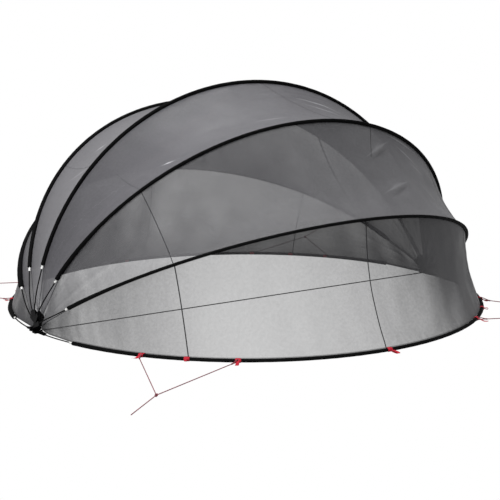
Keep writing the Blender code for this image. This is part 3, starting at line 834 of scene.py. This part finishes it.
def make_collars(k):
    """The pale ferrules between the bare poles and the sleeve of hoop k."""
    start = SLEEVE_START[k] - math.degrees(COLLAR_LENGTH / RING_RADIUS)
    path = hoop(k, np.linspace(start + 0.015, SLEEVE_START[k] + 0.05, len(COLLAR_RADII)))
    parts = [tube_parts(side, COLLAR_RADII, 20) for side in (path, path * MIRROR_X)]
    obj = joined("collars_" + HOOPS[k], parts, PALE)
    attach(obj, BODY_OF_HOOP[k])


for k in range(len(HOOPS)):
    make_sleeve(k)
for k in range(len(HOOPS)):
    make_collars(k)


# Hubs

# The hub's tube slants as the ring's poles do between these distances from the axis, and ends at the second.
TUBE_SPAN = (0.145, 0.2)
TUBE_RADIUS = 0.0125
RIM_RADIUS = 0.0138
TUBE_ROWS = 24
# Outlines as listed points. The base plate's are how far it reaches beyond the hub's middle, and Y.
PLATE = ((0.0, -0.196), (0.05, -0.17), (0.058, -0.05), (0.058, 0.05), (0.04, 0.1), (0.0, 0.13))
PLATE_Z = (0.013, 0.026)
FOOT = ((-0.036, FLOOR_GAP), (0.036, FLOOR_GAP), (0.03, 0.03), (0.02, 0.037), (-0.02, 0.037), (-0.03, 0.03))
FOOT_HALF = 0.024
SADDLE = ((-0.018, 0.032), (0.018, 0.032), (0.02, 0.035), (0.018, 0.039), (-0.018, 0.039), (-0.02, 0.035))
CHEEK_RADIUS = 0.0245
CHEEK_THICK = 0.01
CHEEK_FOOT = [(-0.016, 0.033), (0.016, 0.033)]
CHEEK_TURNS = (-38.0, 218.0)


def block(outline, x0, x1, edge):
    """A bar along X with the outline (y, z) and softened ends."""
    outline = np.asarray(outline, float)
    middle = outline.mean(axis=0)
    off = outline - middle
    small = middle + off * (1.0 - edge / np.maximum(np.linalg.norm(off, axis=1, keepdims=True), edge * 2.0))
    way = math.copysign(1.0, x1 - x0)
    verts = []
    for x, ring in ((x0, small), (x0 + way * edge, outline), (x1 - way * edge, outline), (x1, small)):
        verts += [(x, y, z) for y, z in ring]
    return verts, bar_faces(4, len(outline)), np.zeros((len(verts), 2))


def make_hub(side, word):
    """The moulded foot: a tube for both ends of the ground ring, a saddle over it and two cheeks."""
    middle = side * RING_RADIUS
    ends = []
    for k in GROUND_HOOPS:
        near, far = (hoop(k, math.degrees(math.asin(y / (RING_RADIUS * HOOP_RISE[0])))) for y in TUBE_SPAN)
        slope = (far - near) / (far[1] - near[1])
        ends.append((far, far - slope * far[1]))
    (front, inner), (rear, _) = ends
    f = np.linspace(0.0, 1.0, TUBE_ROWS)[:, None]
    path = np.concatenate([front + (inner - front) * f, inner + (rear - inner) * f[1:]])
    path = path * np.array([-side, 1.0, 1.0])
    radii = np.full(len(path), TUBE_RADIUS)
    radii[[1, -2]] = RIM_RADIUS
    count = len(PLATE)
    verts = [(middle - side * x, y, z) for z in PLATE_Z for x, y in PLATE]
    faces = [tuple(range(count - 1, -1, -1)), tuple(range(count, 2 * count))]
    faces += [(i, (i + 1) % count, (i + 1) % count + count, i + count) for i in range(count)]
    parts = [tube_parts(path, radii, 24), (verts, faces, np.zeros((2 * count, 2))),
             block(FOOT, middle - FOOT_HALF, middle + FOOT_HALF, 0.003),
             block(SADDLE, middle - CHEEK_OUTER, middle + CHEEK_OUTER, 0.0015)]
    turns = np.radians(np.linspace(*CHEEK_TURNS, 30))
    cheek = [(CHEEK_RADIUS * math.cos(t), HINGE_Z + CHEEK_RADIUS * math.sin(t)) for t in turns] + CHEEK_FOOT
    for low in (middle - CHEEK_OUTER, middle + CHEEK_OUTER - CHEEK_THICK):
        parts.append(block(cheek, low, low + CHEEK_THICK, 0.0018))
    obj = joined("hub_foot_" + word, parts, PLASTIC, rounded=False)
    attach(obj, "base")
    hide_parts("hub_" + word)


make_hub(-1.0, "left")
make_hub(1.0, "right")


# Gores and their seams

# Seams of each gore: degrees on its first and second hoop, and half width in metres. Where these follow:
# sideways bow in metres, and the shares of the gore's width between which the seam runs.
SEAMS = (
    ((43.8, 45.75, 0.006, 0.043), (88.3, 90.8, 0.006, 0.007), (136.0, 136.0, 0.004)),
    ((45.6, 45.5, 0.0042, 0.05), (96.0, 108.0, 0.0035, 0.0, 0.7), (136.0, 134.0, 0.003)),
    ((46.0, 46.7, 0.001, 0.0, 0.0, 0.65), (107.0, 94.4, 0.002), (134.0, 134.0, 0.002)),
    ((46.5, 47.0, 0.0012), (93.0, 92.0, 0.0012), (134.0, 132.0, 0.002)),
    # The gore e_f tape at 130.5 degrees is 0.013 m wide: partly its seam and partly painted shade of the fold
    # beside it.
    ((47.0, 47.0, 0.003), (92.0, 90.6, 0.003), (130.5, 157.4, 0.013, -0.047)),
    ((47.0, 46.0, 0.003), (90.6, 93.6, 0.004), (135.8, 137.0, 0.0045, -0.054)),
)
SEAM_STEPS = 60
# A tape's section: places over its half width and how far each stands off the cloth
SEAM_SECTION = ((-1.0, 0.0005), (-0.86, 0.0016), (0.0, 0.0016), (0.86, 0.0016), (1.0, 0.0005))
HEM_RADIUS = 0.0027
SEEDS = (7, 20, 40, 60, 80, 100)


def gore_object(name, gore, material):
    """The cloth itself, with UVs in metres and the distances that its material reads."""
    along = np.repeat(gore.along[:, None], GORE_COLUMNS, axis=1)
    uv = np.stack([gore.reach, along], axis=-1).reshape(-1, 2)
    creases = {"crease_%d" % i: line.ravel() for i, line in enumerate(gore.creases)}
    attributes = {"hem": gore.hem.ravel(), "hub": gore.hub.ravel(), "across": gore.share.ravel(), **creases}
    return mesh_object(name, gore.points.reshape(-1, 3), grid_faces(ROWS, GORE_COLUMNS), material, True, uv,
                       attributes)


def seam_strip(gore, face, t0, t1, half, bow=0.0, first=0.0, last=1.0):
    """A tape from t0 degrees on a gore's first hoop to t1 on its second, and its vertices' shares of it."""
    share = np.linspace(first, last, SEAM_STEPS)
    row = row_at(gore.k, t0) * (1.0 - share) + row_at(gore.k + 1, t1) * share
    here = np.interp(row, np.arange(ROWS), gore.along) + bow * 4.0 * share * (1.0 - share)
    lines = []
    for offset, rise in SEAM_SECTION:
        moved = np.interp(here + face * offset * half, gore.along, np.arange(ROWS))
        point, normal = gore.at(moved, share)
        lines.append(point + normal * (face * rise))
    points = np.stack(lines, axis=1)
    columns = len(SEAM_SECTION)
    over = np.array([[offset for offset, _ in SEAM_SECTION]]) * half
    run = run_along(points[:, columns // 2])
    uv = np.stack([np.repeat(over, SEAM_STEPS, axis=0), np.repeat(run[:, None], columns, axis=1)], axis=-1)
    part = (points.reshape(-1, 3), grid_faces(SEAM_STEPS, columns), uv.reshape(-1, 2))
    return part, np.repeat(share, columns)


def blended(obj, k, share):
    """Each point of obj, on the gore between hoops k and k + 1, turns by its share of the way."""
    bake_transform(obj, BODY_OF_HOOP[k + 1], BODY_OF_HOOP[k],
             start=tuple(hoop(k + 1, 90.0)), end=tuple(hoop(k, 90.0)))
    item = obj.data.attributes["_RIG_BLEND"]
    item.data.foreach_set("value", ramp(1.0 - share).astype(np.float32))


def gathered(obj):
    """The front gore is loosened from the ring and moves with hoop b, on a mesh of its own, when the dome
    folds.
    """
    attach(obj, "hoop_b")
    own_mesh(obj)


def make_gore(k, word):
    """The cloth between hoops k and k + 1 with its seams, each a tape on both faces."""
    gore = Gore(k, SEEDS[k])
    cloth = gore_object("mesh_gore_" + word, gore, GORE_CLOTH[k])
    parts, shares = zip(*[seam_strip(gore, face, *seam) for seam in SEAMS[k] for face in (1.0, -1.0)])
    seams = joined("seams_" + word, parts, SEAM)
    for obj, share in ((cloth, gore.share.ravel()), (seams, np.concatenate(shares))):
        if k == 0:
            gathered(obj)
        else:
            blended(obj, k, share)
    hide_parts("gore_" + word)


def hem_cords(name, k, side):
    """The rolled hems of a gore beside hoop k's bare poles, from the hub to where the sleeve begins."""
    path = cloth_edge(k, side)[3:HUB_ROWS + 4]
    obj = joined(name, [tube_parts(edge, HEM_RADIUS, 8) for edge in (path, path * MIRROR_X)], TAPE)
    return obj


for k in range(1, 6):
    make_gore(k, HOOPS[k] + "_" + HOOPS[k + 1])
for k in range(1, 7):
    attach(hem_cords("hem_%s_fore" % HOOPS[k], k, -1.0), BODY_OF_HOOP[k])
    if k < 6:
        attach(hem_cords("hem_%s_aft" % HOOPS[k], k, 1.0), BODY_OF_HOOP[k])
gathered(hem_cords("hem_a", 0, 1.0))
make_gore(0, "front")


# Webbing and cords

# A band's section, as shares of its half width and of its thickness
BAND_SECTION = ((-1.0, 0.25), (-0.94, 1.0), (-0.5, 1.0), (0.0, 1.0), (0.5, 1.0), (0.94, 1.0), (1.0, 0.25),
                (0.94, 0.0), (0.0, 0.0), (-0.94, 0.0))
WEBBING_THICK = 0.0019
# The wraps round the ring: half width, degrees round the sleeve, and for both layers the tilt, the distance
# from the sleeve and the share of the half width. A loose end is narrower and lies WRAP_END_Z over the floor.
WRAP_HALF = 0.03
WRAP_TURNS = (-66.0, 208.0)
WRAP_LAYERS = ((0.0, 0.0012, 1.0), (0.22, 0.0034, 0.62))
WRAP_END_SHARE = 0.62
WRAP_END_Z = 0.0055
WRAP_LOWEST = 0.0015
# The wraps that hold the cords: degrees along the ring, and length and lean of their loose ends
GUY_WRAPS = ((TAB_ANGLES[0], 0.08, -0.7), (TAB_ANGLES[2], 0.125, -0.1))
OFF_SLEEVE = 0.0012
CORD_RADIUS = 0.0048
CORD_STEP = 0.006
CORD_LAY = 0.045
CORD_Z = 0.0155
STRAND_HEIGHTS = (0.0165, -0.0125)
CORD_END_Z = 0.006
YOKE_REACH = 0.1
# Radius of each knot and of the cord in it
YOKE_KNOT = (0.009, 0.0034)
END_KNOT = (0.0145, 0.0043)
KNOT_TURNS = 3.0
# Reach and half width of the peg loops, between the cords and at front and rear. Their outer ends lie
# LOOP_END_Z over the floor, and their two layers stand LOOP_OPEN off their middle.
CORD_LOOP = (0.05, 0.0125)
END_LOOP = (0.14, 0.019)
LOOP_END_Z = 0.018
LOOP_OPEN = 0.011
LOOP_THICK = 0.0018
# The ground strap's thickness, its slight sideways waves, and how far and how high its ends are doubled
STRAP_THICK = 0.002
STRAP_WAVE = 0.0012
STRAP_DOUBLED = 0.11
STRAP_DOUBLED_Z = STRAP_Z + 0.00105


def ring_spot(quadrant, degrees):
    """The ring's centre line in a quadrant at these degrees from the nearer hub, and the way out from it."""
    sx, sy = quadrant
    point = hoop(0, degrees)
    way = unit(hoop(0, degrees + 0.5) - hoop(0, degrees - 0.5))
    out = np.array([sx * abs(way[1]), sy * abs(way[0]), 0.0])
    return np.array([sx * abs(point[0]), sy * abs(point[1]), RING_Z]), unit(out)


def band(path, across, half, thick, closed=False):
    """Flat webbing along a path with rounded edges. across are unit vectors over its width."""
    path = np.asarray(path, float)
    rows = len(path)
    if closed:
        along = unit(np.roll(path, -1, axis=0) - np.roll(path, 1, axis=0))
    else:
        along = unit(np.gradient(path, axis=0))
    across = np.broadcast_to(np.asarray(across, float), path.shape)
    up = unit(np.cross(across, along))
    run = run_along(path)
    verts = []
    uv = []
    for i in range(rows):
        for x, y in BAND_SECTION:
            verts.append(path[i] + across[i] * (x * half) + up[i] * (y * thick))
            uv.append((x * half, run[i]))
    sides = len(BAND_SECTION)
    if not closed:
        return np.array(verts), bar_faces(rows, sides), np.array(uv)
    last = (rows - 1) * sides
    joint = [(last + j, last + (j + 1) % sides, (j + 1) % sides, j) for j in range(sides)]
    return np.array(verts), grid_faces(rows, sides, closed=True) + joint, np.array(uv)


def wrap_parts(parts, quadrant, degrees, flap=0.0, lean=0.0):
    """Webbing folded round the ring's sleeve, with a loose end of length flap lying outwards."""
    centre, out = ring_spot(quadrant, degrees)
    side = np.array([-out[1], out[0], 0.0])
    wide, thick = sleeve_half(0, degrees)
    middle = centre * FLAT + UP * (thick + FLOOR_GAP)
    turns = np.radians(np.linspace(*WRAP_TURNS, 34))
    for tilt, grow, share in WRAP_LAYERS:
        path = (middle + out * (np.cos(turns) * (wide + grow))[:, None]
                + UP * (np.sin(turns) * (thick + grow))[:, None])
        path = path[path[:, 2] > WRAP_LOWEST]
        tilted = unit(side + out * (tilt + lean) * 0.6)
        parts.append(band(path, tilted, WRAP_HALF * share, WEBBING_THICK))
    if flap:
        f = np.linspace(0.0, 1.0, 14)
        path = middle + out * (wide * 0.7 + flap * f)[:, None] + side * (lean * flap * f)[:, None]
        drop = (thick + 0.004) * (1.0 - smooth(f * 1.6)) + WRAP_END_Z
        path[:, 2] = drop + 0.004 * np.sin(f * 7.0) * f
        parts.append(band(path, side, WRAP_HALF * WRAP_END_SHARE, WEBBING_THICK))
    return centre, out, side


def cord_parts(parts, path):
    """Laid cord of three strands along straight runs between the points of a path."""
    path = np.asarray(path, float)
    run = run_along(path)
    where = np.linspace(0.0, run[-1], max(int(run[-1] / CORD_STEP), 4))
    fine = np.stack([np.interp(where, run, path[:, i]) for i in range(3)], axis=1)
    parts.append(tube_parts(fine, CORD_RADIUS, 9, twist=math.tau / CORD_LAY, lobes=3, lobe=0.13))


def knot_parts(parts, centre, way, radius, cord):
    """A round lump of a few turns of cord."""
    side = np.array([-way[1], way[0], 0.0])
    turns = np.linspace(0.0, math.tau * KNOT_TURNS, 64)
    along = np.linspace(-1.0, 1.0, 64) * radius * 1.1
    round_it = side * np.cos(turns)[:, None] + UP * np.sin(turns)[:, None]
    path = centre + way * along[:, None] + round_it * (radius - cord)
    parts.append(tube_parts(path, cord, 8))


def guy_group(word, quadrant):
    """Two cords from their wraps on the ring to one knot, and the tail from there to the peg."""
    sx, sy = quadrant
    knot = np.array([sx * KNOT_AT[0], sy * KNOT_AT[1], CORD_Z])
    tail = np.array([sx * TAIL_AT[0], sy * TAIL_AT[1], CORD_END_Z])
    straps = []
    cords = []
    for degrees, flap, lean in GUY_WRAPS:
        centre, out, side = wrap_parts(straps, quadrant, degrees, flap, lean)
        aim = unit((knot - centre) * FLAT)
        yoke = centre + out * SLEEVE_RADIUS + aim * YOKE_REACH + side * (lean * flap * 0.5)
        yoke[2] = CORD_Z
        for height in STRAND_HEIGHTS:
            turn = math.asin(height / SLEEVE_RADIUS)
            normal = out * math.cos(turn) + UP * math.sin(turn)
            start = centre + normal * (SLEEVE_RADIUS + OFF_SLEEVE)
            cord_parts(cords, [start, start * 0.5 + yoke * 0.5 + UP * 0.0008, yoke])
        knot_parts(cords, yoke, aim, *YOKE_KNOT)
        cord_parts(cords, [yoke - aim * 0.006, knot])
    way = unit((tail - knot) * FLAT)
    knot_parts(cords, knot, way, *END_KNOT)
    cord_parts(cords, [knot, tail])
    wraps = joined("guy_wraps_" + word, straps, RED)
    lines = joined("guy_cords_" + word, cords, CORD)
    for obj in (wraps, lines):
        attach(obj, "base")
    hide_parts("guy_" + word)


def loop_piece(word, quadrant, degrees, reach, half):
    """A peg loop of webbing that stands out from its wrap on the ring."""
    parts = []
    centre, out, side = wrap_parts(parts, quadrant, degrees)
    turn = np.linspace(0.0, math.tau, 54, endpoint=False)
    f = 0.5 - 0.5 * np.cos(turn)
    path = centre + out[None, :] * (SLEEVE_RADIUS + OFF_SLEEVE + reach * f)[:, None]
    path[:, 2] = RING_Z * (1.0 - f) + LOOP_END_Z * f + LOOP_OPEN * np.sin(turn) * (0.55 + 0.45 * f)
    parts.append(band(path, side, half, LOOP_THICK, closed=True))
    obj = joined("webbing_loop_" + word, parts, RED)
    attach(obj, "base")
    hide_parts("peg_loop_" + word)


def ground_strap():
    """Flat webbing pulled straight from hub to hub, doubled at each end."""
    reach = RING_RADIUS - CHEEK_OUTER - TOUCH_GAP
    parts = []
    x = np.linspace(-reach, reach, 180)
    y = STRAP_WAVE * np.sin(x * 2.1) * smooth(np.minimum(x + reach, reach - x) / 0.6)
    path = np.stack([x, y, STRAP_Z - STRAP_THICK / 2.0 + 0.0 * x], axis=1)
    parts.append(band(path, (0.0, 1.0, 0.0), STRAP_HALF, STRAP_THICK))
    for side in (-1.0, 1.0):
        x = np.linspace(side * reach, side * (reach - STRAP_DOUBLED), 14)
        path = np.stack([x, 0.0 * x, STRAP_DOUBLED_Z + 0.0 * x], axis=1)
        parts.append(band(path, (0.0, -side, 0.0), STRAP_HALF * 0.985, 0.0018))
    obj = joined("strap_webbing", parts, TAPE)
    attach(obj, "base")
    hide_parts("ground_strap")


QUADRANTS = {"front_left": (-1.0, -1.0), "front_right": (1.0, -1.0),
             "rear_left": (-1.0, 1.0), "rear_right": (1.0, 1.0)}
for word, quadrant in QUADRANTS.items():
    guy_group(word, quadrant)
    loop_piece(word, quadrant, TAB_ANGLES[1], *CORD_LOOP)
loop_piece("front", QUADRANTS["front_left"], FRONT_LOOP_AT, *END_LOOP)
loop_piece("rear", QUADRANTS["rear_left"], FRONT_LOOP_AT, *END_LOOP)
ground_strap()


# Floor, world and light

FLOOR_HALF = 60.0
FLOOR_GREY = (0.6, 0.6, 0.6, 1.0)
WHITE = (1.0, 1.0, 1.0, 1.0)
WORLD_LIGHT = 0.36


def white_background(owner, output_kind, *shaders):
    """The first shader gives the light and the camera sees the second. Each is kind, colour and strength."""
    owner.use_nodes = True
    tree = owner.node_tree
    tree.nodes.clear()
    output = tree.nodes.new(output_kind)
    choice = tree.nodes.new("ShaderNodeMixShader")
    ray = tree.nodes.new("ShaderNodeLightPath")
    tree.links.new(ray.outputs["Is Camera Ray"], choice.inputs[0])
    for place, (kind, colour, strength) in enumerate(shaders, 1):
        made = tree.nodes.new(kind)
        made.inputs["Color"].default_value = colour
        if strength:
            made.inputs["Strength"].default_value = strength
        tree.links.new(made.outputs[0], choice.inputs[place])
    tree.links.new(choice.outputs[0], output.inputs["Surface"])


def area_light(name, place, size, power):
    """A square lamp that points at the middle of the dome, 1 m over the floor."""
    data = bpy.data.lights.new(name, "AREA")
    data.shape = "SQUARE"
    data.size = size
    data.energy = power
    obj = link(data, name)
    obj.location = place
    obj.rotation_euler = (Vector((0.0, 0.0, 1.0)) - Vector(place)).to_track_quat("-Z", "Y").to_euler()


corners = [(x * FLOOR_HALF, y * FLOOR_HALF, 0.0) for x, y in ((-1, -1), (1, -1), (1, 1), (-1, 1))]
paint = bpy.data.materials.new("floor_pale")
white_background(paint, "ShaderNodeOutputMaterial", ("ShaderNodeBsdfDiffuse", FLOOR_GREY, None),
                 ("ShaderNodeEmission", WHITE, 1.0))
mesh_object("floor", corners, [(0, 1, 2, 3)], paint, rounded=False)
world = bpy.data.worlds.new("studio")
bpy.context.scene.world = world
white_background(world, "ShaderNodeOutputWorld", ("ShaderNodeBackground", WHITE, WORLD_LIGHT),
                 ("ShaderNodeBackground", WHITE, 1.0))
area_light("key", (-7.0, -4.0, 11.0), 7.0, 1900.0)
area_light("top", (2.0, 3.0, 12.0), 8.0, 800.0)
bpy.context.scene.view_settings.view_transform = "Standard"
bpy.context.scene.view_settings.look = "None"
